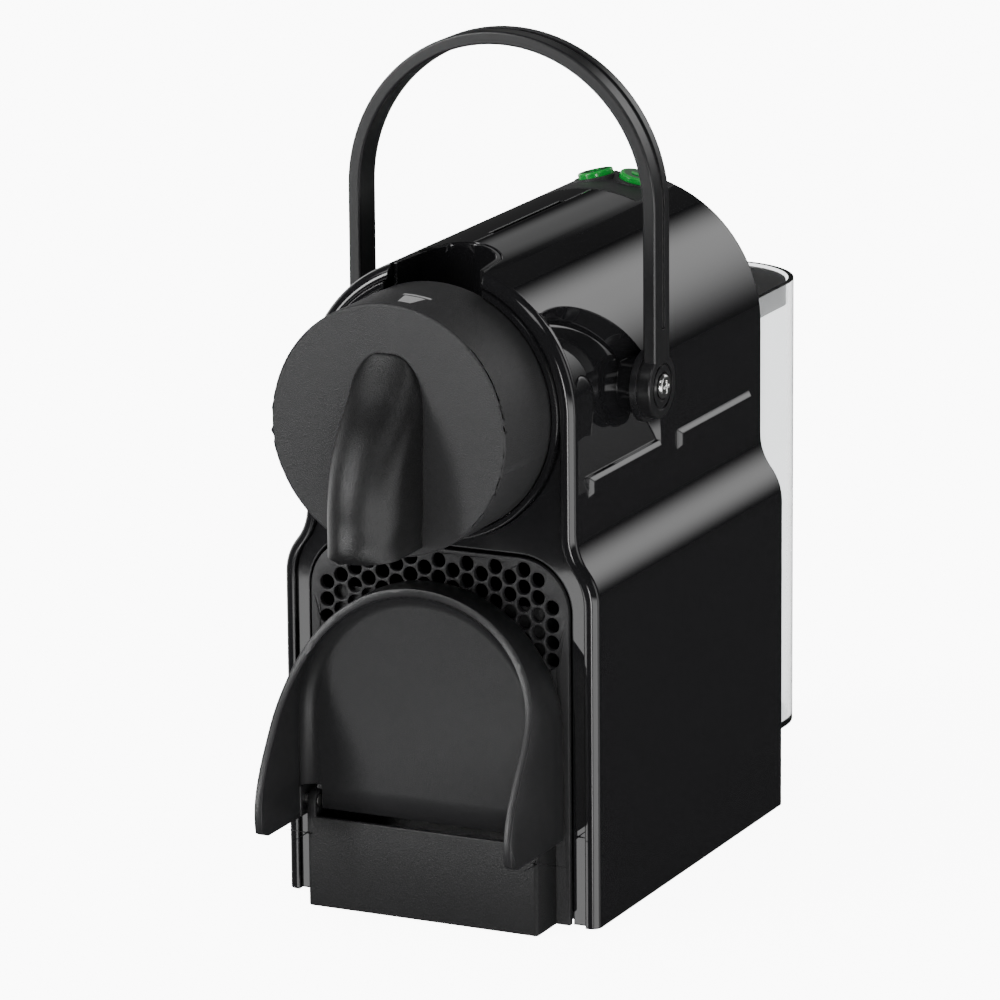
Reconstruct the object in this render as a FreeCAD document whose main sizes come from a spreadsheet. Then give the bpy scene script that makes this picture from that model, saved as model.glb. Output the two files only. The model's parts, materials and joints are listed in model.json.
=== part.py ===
import FreeCAD, Part

# Pod coffee machine, built as it is assembled on the bench.
# Row frame: +Z up, the front looks along -Y, X across the machine, origin on the table
# under the middle of the machine's depth. Inside this file every Y is first counted from
# the body's front edge; finish() then shifts each piece by front_edge_y.

import math
import os
import re

import Sketcher
from FreeCAD import Placement, Rotation, Vector

X_AXIS = Vector(1, 0, 0)
Y_AXIS = Vector(0, 1, 0)
Z_AXIS = Vector(0, 0, 1)

SIZES = [
    # body shells
    ("front_edge_y", -76.193), ("base_half", 59.7), ("arch_radius", 51.2), ("arch_axis", 179.6),
    ("shoulder_top", 139.0), ("shoulder_low", 115.0), ("body_deep", 160.6), ("shell_low", 0.6),
    ("wall", 2.4), ("lip_wall", 4.6), ("lip_deep", 6.0), ("bead", 3.6), ("seam", 0.12),
    ("recess_y", 9.8), ("recess_z", 150.9), ("recess_outer", 63.7), ("recess_inner", 55.8),
    ("recess_arch", 45.7), ("pad_arch", 43.2), ("slot_half", 18.2), ("slot_back_half", 15.6), ("slot_deep", 31.2),
    ("rib_low", 150.0), ("rib_high", 157.0), ("rib_out", 52.7), ("gap", 0.3),
    # control panel and buttons
    ("panel_front", 127.8), ("panel_half", 17.2), ("button_x", 8.5), ("button_y", 149.0),
    ("button_z", 232.9), ("button_tilt", 13.0), ("button_radius", 6.45), ("button_tall", 6.0),
    ("collar_radius", 8.0),
    # head and spout
    ("head_radius", 43.75), ("head_front", -37.0), ("head_rear", 0.2), ("head_wall", 2.3),
    ("collar_in", 44.15), ("collar_out", 46.3),
    # lever
    ("pivot_y", 58.0), ("pivot_z", 179.7), ("bail_half", 58.6), ("strap", 4.7), ("bail_wide", 12.6),
    ("bail_arch_z", 241.7), ("boss_radius", 11.2), ("shaft_radius", 5.0), ("shaft_play", 0.05),
    ("crank_radius", 26.0), ("crank_lean", 32.5), ("crank_in", 26.0), ("crank_out", 29.0),
    ("pin_radius", 3.0), ("disc_in", 51.6), ("disc_out", 53.9), ("disc_radius", 12.7),
    # brewing group
    ("frame_in", 29.6), ("frame_out", 33.6), ("frame_low", 153.5), ("frame_high", 205.0),
    ("frame_end", 118.0), ("cage_front", 35.0), ("cage_end", 68.0), ("cage_radius", 20.5),
    ("yoke_in", 23.0), ("yoke_out", 25.5),
    # front unit
    ("door_half", 49.0), ("door_high", 129.7), ("door_front", 0.6), ("door_thick", 2.4),
    ("door_round", 18.5), ("hole_radius", 2.65), ("hole_pitch", 5.35), ("hole_top", 125.6),
    ("hole_arch", 42.5), ("tray_half", 44.0), ("tray_front", -15.0), ("tray_high", 33.0),
    ("bin_half", 40.0), ("bin_end", 90.0), ("bin_low", 38.0), ("bin_high", 112.0),
    # folding cup support
    ("cup_half", 48.7), ("cup_arch_z", 70.5), ("cup_wall", 3.0), ("cup_rear", -3.2),
    ("cup_low", 32.6), ("plate_front", -12.2), ("plate_thick", 2.2), ("hinge_y", -11.0),
    ("hinge_z", 38.0), ("hinge_pin", 2.0),
    # water tank
    ("tank_half", 48.4), ("tank_front", 161.6), ("tank_rear", 220.6), ("tank_low", 20.8),
    ("tank_high", 187.5), ("tank_wall", 2.0), ("tank_round", 29.0), ("lid_low", 179.2),
]

doc = FreeCAD.newDocument("pod_coffee_machine")
sheet = doc.addObject("Spreadsheet::Sheet", "sizes")
for line, (alias, number) in enumerate(SIZES, start=1):
    sheet.set("A%d" % line, alias)
    sheet.set("B%d" % line, str(number))
    sheet.setAlias("B%d" % line, alias)
doc.recompute()


class SheetValues:
    """Reads a driving size from the sheet, as plain millimetres or degrees."""

    def __getattr__(self, alias):
        return float(sheet.get(alias))


size = SheetValues()
aliases = [alias for alias, number in SIZES]
sub_parts = {}


def bound(text):
    """Turns a sum of size names into an expression on the sheet."""
    return re.sub(r"[a-z][a-z_]+", lambda word: "sizes." + word.group(0)
                  if word.group(0) in aliases else word.group(0), str(text))


def bind(piece, **settings):
    """Ties properties of a piece to the sheet; base_x, base_y and base_z place it."""
    for name, text in settings.items():
        path = "Placement.Base." + name[-1] if name.startswith("base_") else name
        piece.setExpression(path, bound(text))


def box(x, y, z, wide, deep, high):
    piece = doc.addObject("Part::Box", "block")
    bind(piece, Length=wide, Width=deep, Height=high, base_x=x, base_y=y, base_z=z)
    return piece


def span(x, y, z):
    """A block given by its low and high limits on each axis."""
    sides = ["(%s) - (%s)" % (high, low) for low, high in (x, y, z)]
    return box(x[0], y[0], z[0], *sides)


def rod(axis, radius, start, length, x="0", y="0", z="0"):
    """A cylinder along one axis that starts at the given place on it."""
    piece = doc.addObject("Part::Cylinder", "rod")
    turn = {"x": Rotation(Y_AXIS, 90), "y": Rotation(X_AXIS, -90), "z": Rotation()}[axis]
    piece.Placement = Placement(Vector(), turn)
    places = {"x": x, "y": y, "z": z}
    places[axis] = start
    bind(piece, Radius=radius, Height=length,
         base_x=places["x"], base_y=places["y"], base_z=places["z"])
    return piece


def cone(axis, radius_one, radius_two, start, length, x="0", y="0", z="0"):
    piece = doc.addObject("Part::Cone", "taper")
    turn = {"x": Rotation(Y_AXIS, 90), "y": Rotation(X_AXIS, -90), "z": Rotation()}[axis]
    piece.Placement = Placement(Vector(), turn)
    places = {"x": x, "y": y, "z": z}
    places[axis] = start
    bind(piece, Radius1=radius_one, Radius2=radius_two, Height=length,
         base_x=places["x"], base_y=places["y"], base_z=places["z"])
    return piece


def fuse(*pieces):
    joined = doc.addObject("Part::MultiFuse", "joined")
    joined.Shapes = list(pieces)
    joined.Refine = True
    return joined


def cut(base, *tools):
    left = doc.addObject("Part::Cut", "cut")
    left.Base = base
    left.Tool = tools[0] if len(tools) == 1 else fuse(*tools)
    left.Refine = True
    return left


def common(*pieces):
    shared = doc.addObject("Part::MultiCommon", "shared")
    shared.Shapes = list(pieces)
    return shared


def solid(shape):
    """Carries a shape that no primitive makes."""
    piece = doc.addObject("Part::Feature", "shaped")
    piece.Shape = shape
    return piece


def rounded(base, radius, chosen):
    """Rounds the edges of base for which chosen(edge) is true."""
    doc.recompute()
    piece = doc.addObject("Part::Fillet", "rounded")
    piece.Base = base
    piece.Edges = [(number, radius, radius)
                   for number, edge in enumerate(base.Shape.Edges, start=1) if chosen(edge)]
    return piece


def upright(edge):
    """True for straight edges along Z."""
    run = edge.Vertexes[-1].Point - edge.Vertexes[0].Point
    return abs(run.x) < 1e-6 and abs(run.y) < 1e-6 and abs(run.z) > 1e-6


def mirrored(piece):
    """The same piece on the other side of the machine's middle plane."""
    other = doc.addObject("Part::Mirroring", "mirrored")
    other.Source = piece
    other.Normal = X_AXIS
    return other


def finish(label, piece):
    """Names a finished sub-part and moves it from the front edge's frame to the row frame."""
    piece.Label = label
    piece.setExpression("Placement.Base.y", "sizes.front_edge_y")
    sub_parts[label] = piece
    return piece


# ---- sketches of PartDesign bodies -------------------------------------------------------

def new_body(label):
    body = doc.addObject("PartDesign::Body", label)
    return finish(label, body)


def new_sketch(body, role, lift="0"):
    """A sketch on one of the body's own origin planes, lifted along the plane's normal."""
    sketch = body.newObject("Sketcher::SketchObject", "sketch")
    plane = [item for item in body.Origin.OriginFeatures if item.Role == role][0]
    sketch.AttachmentSupport = [(plane, "")]
    sketch.MapMode = "FlatFace"
    sketch.setExpression("AttachmentOffset.Base.z", bound(lift))
    return sketch


def driven(sketch, kind, text, *where):
    """Adds a dimension whose value comes from the sheet."""
    index = sketch.addConstraint(Sketcher.Constraint(kind, *where, 10.0))
    sketch.setExpression("Constraints[%d]" % index, bound(text))


def draw_box(sketch, left, low, wide, high):
    corners = [Vector(1, 1, 0), Vector(11, 1, 0), Vector(11, 11, 0), Vector(1, 11, 0)]
    first = sketch.GeometryCount
    for number in range(4):
        sketch.addGeometry(Part.LineSegment(corners[number], corners[(number + 1) % 4]))
    for number in range(4):
        sketch.addConstraint(Sketcher.Constraint(
            "Coincident", first + number, 2, first + (number + 1) % 4, 1))
        way = "Horizontal" if number % 2 == 0 else "Vertical"
        sketch.addConstraint(Sketcher.Constraint(way, first + number))
    driven(sketch, "DistanceX", wide, first, 1, first, 2)
    driven(sketch, "DistanceY", high, first + 1, 1, first + 1, 2)
    driven(sketch, "DistanceX", left, -1, 1, first, 1)
    driven(sketch, "DistanceY", low, -1, 1, first, 1)


def draw_circle(sketch, x, y, radius):
    index = sketch.addGeometry(Part.Circle(Vector(5, 5, 0), Z_AXIS, 3))
    driven(sketch, "Radius", radius, index)
    driven(sketch, "DistanceX", x, -1, 1, index, 3)
    driven(sketch, "DistanceY", y, -1, 1, index, 3)


def pad(body, sketch, length, back=False):
    feature = body.newObject("PartDesign::Pad", "pad")
    feature.Profile = sketch
    feature.Reversed = back
    bind(feature, Length=length)
    return feature


def pocket(body, sketch, length, back=False):
    """Cuts a sketch out of the body and makes sure that something was cut."""
    doc.recompute()
    before = body.Shape.Volume
    feature = body.newObject("PartDesign::Pocket", "pocket")
    feature.Profile = sketch
    feature.Reversed = back
    bind(feature, Length=length)
    doc.recompute()
    if body.Shape.Volume > before - 0.01:
        raise RuntimeError("a pocket of %s cuts nothing" % body.Label)
    return feature


def round_body(body, radius, chosen):
    doc.recompute()
    tip = body.Tip
    names = ["Edge%d" % number for number, edge in enumerate(tip.Shape.Edges, start=1)
             if chosen(edge)]
    feature = body.newObject("PartDesign::Fillet", "fillet")
    feature.Base = (tip, names)
    feature.Radius = radius
    doc.recompute()
    return feature


# ---- body shells -------------------------------------------------------------------------

def arc(start, middle, end):
    return Part.Arc(start, middle, end).toShape()


def line(start, end):
    return Part.makeLine(start, end)


def body_outline(inset, low):
    """The body's closed cross-section: straight sides, S-shaped shoulders and a round top."""
    radius = size.arch_radius - inset
    base = size.base_half - inset
    mid_z = (size.shoulder_top + size.shoulder_low) / 2
    mid_x = (radius + base) / 2
    edges = []
    half = radius * math.sqrt(0.5)
    for side in (1, -1):
        edges.append(arc(Vector(side * radius, 0, size.arch_axis),
                         Vector(side * half, 0, size.arch_axis + half),
                         Vector(0, 0, size.arch_axis + radius)))
        top = Vector(side * radius, 0, size.shoulder_top)
        turn = Vector(side * mid_x, 0, mid_z)
        foot = Vector(side * base, 0, size.shoulder_low)
        step = (base - radius) / 2
        rise = (size.shoulder_top - size.shoulder_low) / 2
        bend = (step * step + rise * rise) / (2 * step)
        swing = math.asin(rise / bend) / 2
        upper = Vector(side * (radius + bend * (1 - math.cos(swing))), 0,
                       size.shoulder_top - bend * math.sin(swing))
        lower = Vector(side * (base - bend * (1 - math.cos(swing))), 0,
                       size.shoulder_low + bend * math.sin(swing))
        edges.append(line(Vector(side * radius, 0, size.arch_axis), top))
        edges.append(arc(top, upper, turn))
        edges.append(arc(turn, lower, foot))
        edges.append(line(foot, Vector(side * base, 0, low)))
    edges.append(line(Vector(base, 0, low), Vector(-base, 0, low)))
    return Part.Face(Part.Wire(Part.__sortEdges__(edges)))


def body_prism(inset, front, rear, low):
    shape = body_outline(inset, low)
    shape.translate(Vector(0, front, 0))
    return shape.extrude(Vector(0, rear - front, 0))


def y_cylinder(radius, front, rear, x=0.0, z=None):
    height = size.arch_axis if z is None else z
    return Part.makeCylinder(radius, rear - front, Vector(x, front, height), Y_AXIS)


def x_cylinder(radius, low, high, y, z):
    return Part.makeCylinder(radius, high - low, Vector(low, y, z), X_AXIS)


def block(x, y, z):
    return Part.makeBox(x[1] - x[0], y[1] - y[0], z[1] - z[0], Vector(x[0], y[0], z[0]))


def slot_prism(inset, low, high, front):
    """The capsule slot seen from above: nearly straight sides and a round back."""
    half = size.slot_half - inset
    back_half = size.slot_back_half - inset
    deep = size.slot_deep - inset
    shoulder = deep - 10.5
    corners = [Vector(side * half, -5, low) for side in (-1, 1)]
    bends = [Vector(side * back_half, shoulder, low) for side in (-1, 1)]
    back = arc(bends[1], Vector(0, deep, low), bends[0])
    sides = [line(corners[0], corners[1]), line(corners[1], bends[1]), line(bends[0], corners[0])]
    face = Part.Face(Part.Wire(Part.__sortEdges__(sides + [back])))
    prism = face.extrude(Vector(0, 0, high - low))
    return prism.common(block((-80, 80), (front, 80), (low - 1, high + 1)))


def flank(side, low, high):
    """A range of X counted outwards from the middle plane, on one side of the machine."""
    return (low, high) if side > 0 else (-high, -low)


def recess_section(side, degrees):
    """The recess cut by a plane through its centre line, which runs across the machine."""
    swing = math.radians(degrees)
    slope = (size.recess_outer - size.recess_inner) / (size.arch_radius - size.recess_arch)
    corners = []
    for depth, reach in ((-12.0, 20.0), (-12.0, None), (16.0, None), (16.0, 20.0)):
        out = reach or size.recess_outer - slope * depth
        z = size.recess_z + out * math.cos(swing)
        above = max(0.0, size.recess_z + size.recess_outer * math.cos(swing) - size.arch_axis)
        x = math.sqrt(size.arch_radius ** 2 - above ** 2) - depth
        corners.append(Vector(side * x, size.recess_y + out * math.sin(swing), z))
    return Part.makePolygon(corners + corners[:1])


def recess_tool(side):
    """What is taken off a flank so that the lever's arm runs close to the body."""
    rear = size.recess_y + size.recess_outer + 12
    sections = [recess_section(side, degrees) for degrees in range(-12, 97, 12)]
    region = Part.makeLoft(sections, True)
    core = x_cylinder(21.0, *flank(side, 15, 70), size.recess_y, size.recess_z)
    region = region.fuse(core)
    region = region.common(block(flank(side, 20, 70), (size.lip_deep - 1.0, rear), (size.recess_z, 230)))
    arch = y_cylinder(size.recess_arch, -1, rear + 1)
    below = Part.makePolygon([
        Vector(0, -1, size.arch_axis), Vector(side * size.recess_arch, -1, size.arch_axis),
        Vector(side * size.recess_arch, -1, size.arch_axis - 5),
        Vector(side * (size.arch_radius + 0.4), -1, size.recess_z), Vector(0, -1, size.recess_z),
        Vector(0, -1, size.arch_axis)])
    floor = Part.Face(below).extrude(Vector(0, rear + 2, 0))
    return region.cut(arch.fuse(floor))


def front_rim(edge, prism_front):
    """True for edges of the arch, shoulders and sides that lie in the front plane."""
    points = [vertex.Point for vertex in edge.Vertexes]
    flat = all(abs(point.y - prism_front) < 1e-6 for point in points)
    centre = edge.CenterOfMass
    return flat and abs(centre.y - prism_front) < 1e-6 and centre.z > size.shell_low + 0.01


def make_shell(side):
    """One of the two gloss half shells that meet on the seam along the top."""
    low = size.shell_low
    deep = size.body_deep
    outer = body_prism(0, 0, deep, low)
    outer = outer.makeFillet(size.bead, [e for e in outer.Edges if front_rim(e, 0)])
    half = outer.common(block(flank(side, size.seam, 80), (-5, deep + 5), (-5, 260)))
    backing_end = size.recess_y + size.recess_outer + size.wall
    backing = block(flank(side, 12, 70), (0, backing_end), (156, 217.5))
    backing = backing.cut(y_cylinder(size.pad_arch, -1, deep + 1))
    cavity = body_prism(size.wall, size.lip_deep, deep + 1, low - 1)
    cavity = cavity.common(block(flank(side, 0, 80), (-5, deep + 5), (-5, 260))).cut(backing)
    half = half.cut(cavity)
    half = half.cut(body_prism(size.lip_wall, -1, size.lip_deep, low - 1))
    half = half.cut(recess_tool(side))
    boss = x_cylinder(10.0, *flank(side, size.pad_arch + 0.5, size.arch_radius - 0.1),
                      size.pivot_y, size.pivot_z)
    bore = x_cylinder(size.shaft_radius + size.shaft_play, *flank(side, 30, 70),
                      size.pivot_y, size.pivot_z)
    half = half.fuse(boss).cut(bore)
    for start, end in ((12.9, 71.5), (87.0, 150.0)):
        rib = block(flank(side, size.arch_radius - 1.2, size.rib_out), (start, end),
                    (size.rib_low, size.rib_high))
        ends = [e for e in rib.Edges if abs(abs(e.CenterOfMass.x) - size.rib_out) < 1e-6]
        half = half.fuse(rib.makeChamfer(1.3, ends))
    panel = block((-size.panel_half - 0.15, size.panel_half + 0.15),
                  (size.panel_front - 0.15, deep + 1), (212, 240))
    return half.cut(slot_prism(0, 205, 240, -5)).cut(panel)


def make_shells():
    slit = block((-2.0, 0), (47.0, 105.0), (size.arch_axis + 49.6, 240))
    finish("left_shell", solid(make_shell(-1).cut(slit).removeSplitter()))
    finish("right_shell", solid(make_shell(1).removeSplitter()))


def make_front_fascia():
    """Gloss plate behind the front bead, open for the head and for the front unit."""
    plate = body_prism(size.lip_wall + size.gap, 1.6, 4.0, 1.0)
    door = door_prism(-1.0, 0, 6)
    head = y_cylinder(size.collar_out + size.gap, 0, 6)
    finish("front_fascia", solid(plate.cut(door).cut(head)))


def make_head_collar():
    """Dark ring between the bead and the head."""
    ring = cut(rod("y", "collar_out", "-1.5", "5.9", z="arch_axis"),
               rod("y", "collar_in", "-2", "17", z="arch_axis"),
               span(("-slot_half - 0.3", "slot_half + 0.3"), ("-3", "16"), ("arch_axis", "240")))
    finish("head_collar", ring)


def make_slot_liner():
    """Gloss well that guides a capsule down from the slot to the chamber."""
    low = 209.0
    wall = slot_prism(size.gap, low, 240, 3.4).cut(slot_prism(size.gap + 1.4, low - 1, 241, 3.3))
    top = y_cylinder(size.arch_radius - 0.3, 0, 40)
    finish("slot_liner", solid(wall.common(top)))


def make_rear_cover():
    """Plate that closes the shells towards the tank, with an opening for the tank's shelf."""
    plate = body_prism(size.wall + size.gap, size.body_deep - 2.3, size.body_deep, 5.0)
    shelf = block((-28.0, 28.0), (150, 170), (0, 24.0))
    panel = block((-size.panel_half - 0.4, size.panel_half + 0.4), (150, 170), (222, 240))
    lead = y_cylinder(5.5, 150, 170, 42.0, 12.0)
    finish("rear_cover", solid(plate.cut(shelf).cut(panel).cut(lead)))


def make_base_plate():
    """Floor of the machine with the drawer's rails and the shelf that carries the tank."""
    body = new_body("base_plate")
    outline = new_sketch(body, "XY_Plane", "1.2")
    draw_box(outline, "-56.8", "6.4", "113.6", "body_deep - 6.8")
    pad(body, outline, "3.0")
    shelf = new_sketch(body, "XY_Plane", "1.2")
    draw_box(shelf, "-27", "body_deep - 2.5", "54", "44.5")
    pad(body, shelf, "tank_low - 0.5 - 1.2")
    rails = new_sketch(body, "XY_Plane", "4.0")
    draw_box(rails, "-48.5", "8", "2.5", "84")
    draw_box(rails, "46", "8", "2.5", "84")
    pad(body, rails, "10")
    rear_stop = new_sketch(body, "XY_Plane", "4.0")
    draw_box(rear_stop, "-45", "93", "90", "2.5")
    pad(body, rear_stop, "30")
    seat = new_sketch(body, "XY_Plane", "tank_low")
    draw_circle(seat, "0", "184", "11.3")
    pocket(body, seat, "9.0")
    channel = new_sketch(body, "XY_Plane", "tank_low")
    draw_box(channel, "-4.3", "body_deep - 3", "8.6", "16")
    pocket(body, channel, "8.8")
    feet = new_sketch(body, "XY_Plane", "4.4")
    for x in ("-48", "48"):
        for y in ("18", "146"):
            draw_circle(feet, x, y, "3.05")
    pocket(body, feet, "5")
    round_body(body, 5.0, lambda edge: upright(edge) and edge.CenterOfMass.y > 190)


def make_rubber_feet():
    feet = []
    for x in ("-48", "48"):
        for y in ("18", "146"):
            feet.append(fuse(rod("z", "6", "0", "1.2", x=x, y=y), rod("z", "3", "1.2", "3.2", x=x, y=y)))
    finish("rubber_feet", fuse(*feet))


# ---- head ---------------------------------------------------------------------------------

def make_head_shell():
    """Round matte head: a drum closed in front by its disc."""
    drum = rod("y", "head_radius", "head_front", "head_rear - head_front", z="arch_axis")
    drum = rounded(drum, 0.9, lambda edge: abs(edge.CenterOfMass.y - size.head_front) < 1e-6)
    inside = rod("y", "head_radius - head_wall", "head_front + head_wall", "40", z="arch_axis")
    duct = span(("-9", "9"), ("head_front - 1", "head_front + 4"), ("150", "176"))
    finish("head_shell", cut(drum, inside, duct))


SPOUT = [
    # height, half width, length of the straight sides and depth of the round front
    (206.3, 3.0, 0.1, 0.6), (204.6, 7.0, 0.1, 1.8), (201.0, 10.2, 0.1, 4.0), (196.5, 12.2, 0.2, 7.0),
    (191.3, 13.2, 0.4, 10.7), (183.2, 13.4, 5.6, 13.2), (176.9, 13.3, 10.2, 13.2),
    (168.6, 13.1, 14.3, 13.0), (159.9, 13.0, 16.3, 12.9), (150.8, 12.9, 17.1, 12.8),
    (140.6, 12.8, 17.3, 12.8),
]


def spout_section(z, half, straight, nose, inset=0.0):
    """Level section of the spout: a flat back, two straight sides and a half oval in front."""
    back = size.head_front - inset * 1.5
    turn = size.head_front - straight
    half = half - inset
    nose = nose - inset
    corners = [Vector(-half, back, z), Vector(half, back, z), Vector(half, turn, z), Vector(-half, turn, z)]
    centre = Vector(0, turn, z)
    if half >= nose:
        oval = Part.Ellipse(centre + Vector(half, 0, 0), centre + Vector(0, nose, 0), centre)
        front = Part.Arc(oval, math.pi, 2 * math.pi)
    else:
        oval = Part.Ellipse(centre + Vector(0, nose, 0), centre + Vector(-half, 0, 0), centre)
        front = Part.Arc(oval, math.pi / 2, 3 * math.pi / 2)
    edges = [line(corners[0], corners[1]), line(corners[1], corners[2]), front.toShape(),
             line(corners[3], corners[0])]
    return Part.Wire(Part.__sortEdges__(edges))


def make_outlet_cover():
    """Nose-shaped spout that grows out of the head's disc and is open below."""
    outer = Part.makeLoft([spout_section(*row) for row in SPOUT], True)
    hollow = [row for row in SPOUT if row[0] < 180]
    inner = Part.makeLoft([spout_section(*row, inset=2.0) for row in hollow], True)
    mouth = spout_section(*SPOUT[-1], inset=2.0)
    mouth = Part.Face(mouth).extrude(Vector(0, 0, -5))
    duct = block((-7, 7), (size.head_front - 6, size.head_front + 5), (157, 171))
    finish("outlet_cover", solid(outer.cut(inner).cut(mouth).cut(duct).removeSplitter()))


def make_outlet_duct():
    """Funnel that leads the coffee from the extraction plate into the spout."""
    outer = fuse(cone("y", "7", "17", "-33.5", "29.7", z="arch_axis - 8"),
                 span(("-6.5", "6.5"), ("-52", "-30"), ("158", "170")),
                 rod("z", "4.6", "148", "14", y="-52"))
    inner = fuse(cone("y", "5.4", "15.4", "-33.5", "30.5", z="arch_axis - 8"),
                 span(("-5", "5"), ("-52.5", "-28"), ("159.5", "168.5")),
                 rod("z", "3.2", "147", "18", y="-52"))
    finish("outlet_duct", cut(outer, inner))


# ---- brewing group ------------------------------------------------------------------------

def make_brew_frame():
    """Guide frame: a front plate, two grooved cheeks and a rear plate."""
    cheek = span(("frame_in", "frame_out"), ("0.6", "frame_end"), ("frame_low", "frame_high"))
    groove = span(("frame_in - 1", "31.5"), ("3.5", "71"), ("162.6", "167.4"))
    hole = rod("x", "shaft_radius + shaft_play", "20", "20", y="pivot_y", z="pivot_z")
    window = span(("frame_in - 1", "frame_out + 1"), ("76", "108"), ("166", "196"))
    right = cut(cheek, groove, hole, window)
    front = span(("-frame_out", "frame_out"), ("0.6", "3.2"), ("frame_low", "frame_high"))
    rear = span(("-frame_out", "frame_out"), ("frame_end - 3", "frame_end"),
                ("frame_low", "frame_high - 6"))
    plates = cut(fuse(front, rear), rod("y", "19.3", "0", "6", z="arch_axis"),
                 rod("y", "9", "110", "12", z="arch_axis"))
    finish("brew_frame", fuse(right, mirrored(right), plates))


def make_extraction_plate():
    """Perforated plate that the capsule's foil is pressed against."""
    plate = fuse(rod("y", "24", "-3.4", "4.0", z="arch_axis"),
                 rod("y", "19", "0.6", "3.0", z="arch_axis"))
    holes = [rod("y", "0.9", "-5", "12", x="%g" % (r * math.cos(a)),
                 z="arch_axis + %g" % (r * math.sin(a)))
             for r, n in ((0, 1), (5, 6), (10, 12)) for a in [2 * math.pi * k / n for k in range(n)]]
    finish("extraction_plate", cut(plate, *holes))


def make_capsule_cage():
    """Sliding cup that closes over the capsule, with guide wings and two slotted yokes."""
    barrel = rod("y", "cage_radius", "cage_front", "cage_end - cage_front", z="arch_axis")
    nozzle = rod("y", "4.5", "cage_end", "7", z="arch_axis")
    wings = span(("-31.2", "31.2"), ("cage_front + 2", "66"), ("163", "167"))
    yoke = span(("yoke_in", "yoke_out"), ("44", "79"), ("172", "212.5"))
    web = span(("17", "yoke_in + 0.5"), ("46", "66"), ("174", "186"))
    slot = span(("yoke_in - 1", "yoke_out + 1"),
                ("pivot_y + 13.97 - 3.7", "pivot_y + 13.97 + 3.7"), ("197.5", "209.5"))
    side = cut(fuse(yoke, web), slot)
    post = span(("-4", "4"), ("50", "60"), ("198", "203"))
    body = fuse(barrel, nozzle, wings, side, mirrored(side), post)
    cup = cone("y", "15.4", "12.0", "cage_front", "27", z="arch_axis")
    feed = rod("y", "1.5", "50", "30", z="arch_axis")
    finish("capsule_cage", cut(body, cup, feed))


def make_cage_seal():
    """Silicone lip round the mouth of the cage."""
    lip = cut(rod("y", "19.0", "cage_front - 1.6", "1.6", z="arch_axis"),
              rod("y", "15.8", "cage_front - 2", "3", z="arch_axis"))
    finish("cage_seal", lip)


def make_piercing_blades():
    """Three small blades that open the capsule's back."""
    blades = [cone("y", "0.3", "1.5", "cage_front + 20.5", "6.5", x="%g" % (7 * math.cos(a)),
                   z="arch_axis + %g" % (7 * math.sin(a)))
              for a in (math.pi / 2, math.pi * 7 / 6, math.pi * 11 / 6)]
    finish("piercing_blades", fuse(*blades))


def make_slot_shutter():
    """Plate that rides on the cage and closes the slot while the machine brews."""
    finish("slot_shutter", rounded(
        span(("-15", "15"), ("34.5", "63"), ("203", "204.8")), 4.0, upright))


def crank():
    """A lever shaft in one piece with the crank whose pin drives the yoke."""
    lean = math.radians(size.crank_lean)
    pin_y = "pivot_y + %.3f" % (size.crank_radius * math.sin(lean))
    pin_z = "pivot_z + %.3f" % (size.crank_radius * math.cos(lean))
    shaft = rod("x", "shaft_radius", "crank_in", "disc_out - crank_in", y="pivot_y", z="pivot_z")
    hub = rod("x", "7", "crank_in", "crank_out - crank_in", y="pivot_y", z="pivot_z")
    pin = rod("x", "pin_radius", "22.6", "crank_out - 22.6", y=pin_y, z=pin_z)
    tip = rod("x", "4", "crank_in", "crank_out - crank_in", y=pin_y, z=pin_z)
    arm = doc.addObject("Part::Box", "arm")
    arm.Placement = Placement(Vector(), Rotation(X_AXIS, -size.crank_lean))
    bind(arm, Length="crank_out - crank_in", Width="7", Height="crank_radius", base_x="crank_in",
         base_y="pivot_y - 3.5 * %.4f" % math.cos(lean),
         base_z="pivot_z + 3.5 * %.4f" % math.sin(lean))
    screw_bore = rod("x", "2.05", "disc_out - 9", "10", y="pivot_y", z="pivot_z")
    return cut(fuse(shaft, hub, pin, tip, arm), screw_bore)


def make_cranks():
    finish("right_crank", crank())
    finish("left_crank", mirrored(crank()))


# ---- lever --------------------------------------------------------------------------------

def bail_band(outer, inner, front, wide, foot):
    """An upside-down U round the machine: two straight arms and a half ring on top."""
    top = size.bail_arch_z
    edges = []
    for radius in (outer, inner):
        edges.append(arc(Vector(-radius, front, top), Vector(0, front, top + radius),
                         Vector(radius, front, top)))
        for side in (-1, 1):
            edges.append(line(Vector(side * radius, front, top), Vector(side * radius, front, foot)))
    for side in (-1, 1):
        edges.append(line(Vector(side * outer, front, foot), Vector(side * inner, front, foot)))
    face = Part.Face(Part.Wire(Part.__sortEdges__(edges)))
    return face.extrude(Vector(0, wide, 0))


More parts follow.
